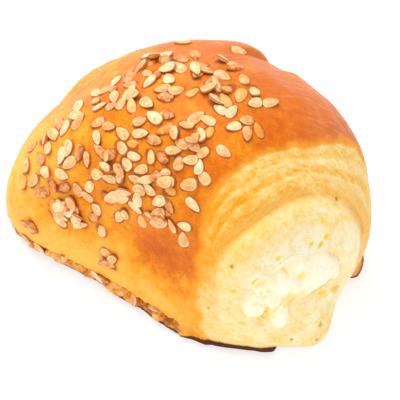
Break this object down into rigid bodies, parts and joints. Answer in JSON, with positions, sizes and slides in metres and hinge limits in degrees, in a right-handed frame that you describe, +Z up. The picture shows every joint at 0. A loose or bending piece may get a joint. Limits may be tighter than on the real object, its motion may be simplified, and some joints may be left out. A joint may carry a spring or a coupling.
{
  "type": "cheese pastry",
  "caption": "Small baked roll of bread dough wound round a curd cheese core, with a sesame-topped golden crust and pale layered open ends.",
  "frame": {"origin": "in the flat resting face, under the middle of the roll", "axes": "+Z up, +X along the roll towards the larger open end, +Y to the side away from the viewer"},
  "size_m": [0.0748, 0.0486, 0.0435],
  "materials": {
    "baked_dough": "golden baked crust with a thin egg glaze, paler where the layers open",
    "curd_cheese": "soft, moist white curd"
  },
  "bodies": {
    "root": {"dough": "baked_dough", "cheese_filling": "curd_cheese"}
  },
  "joints": []
}
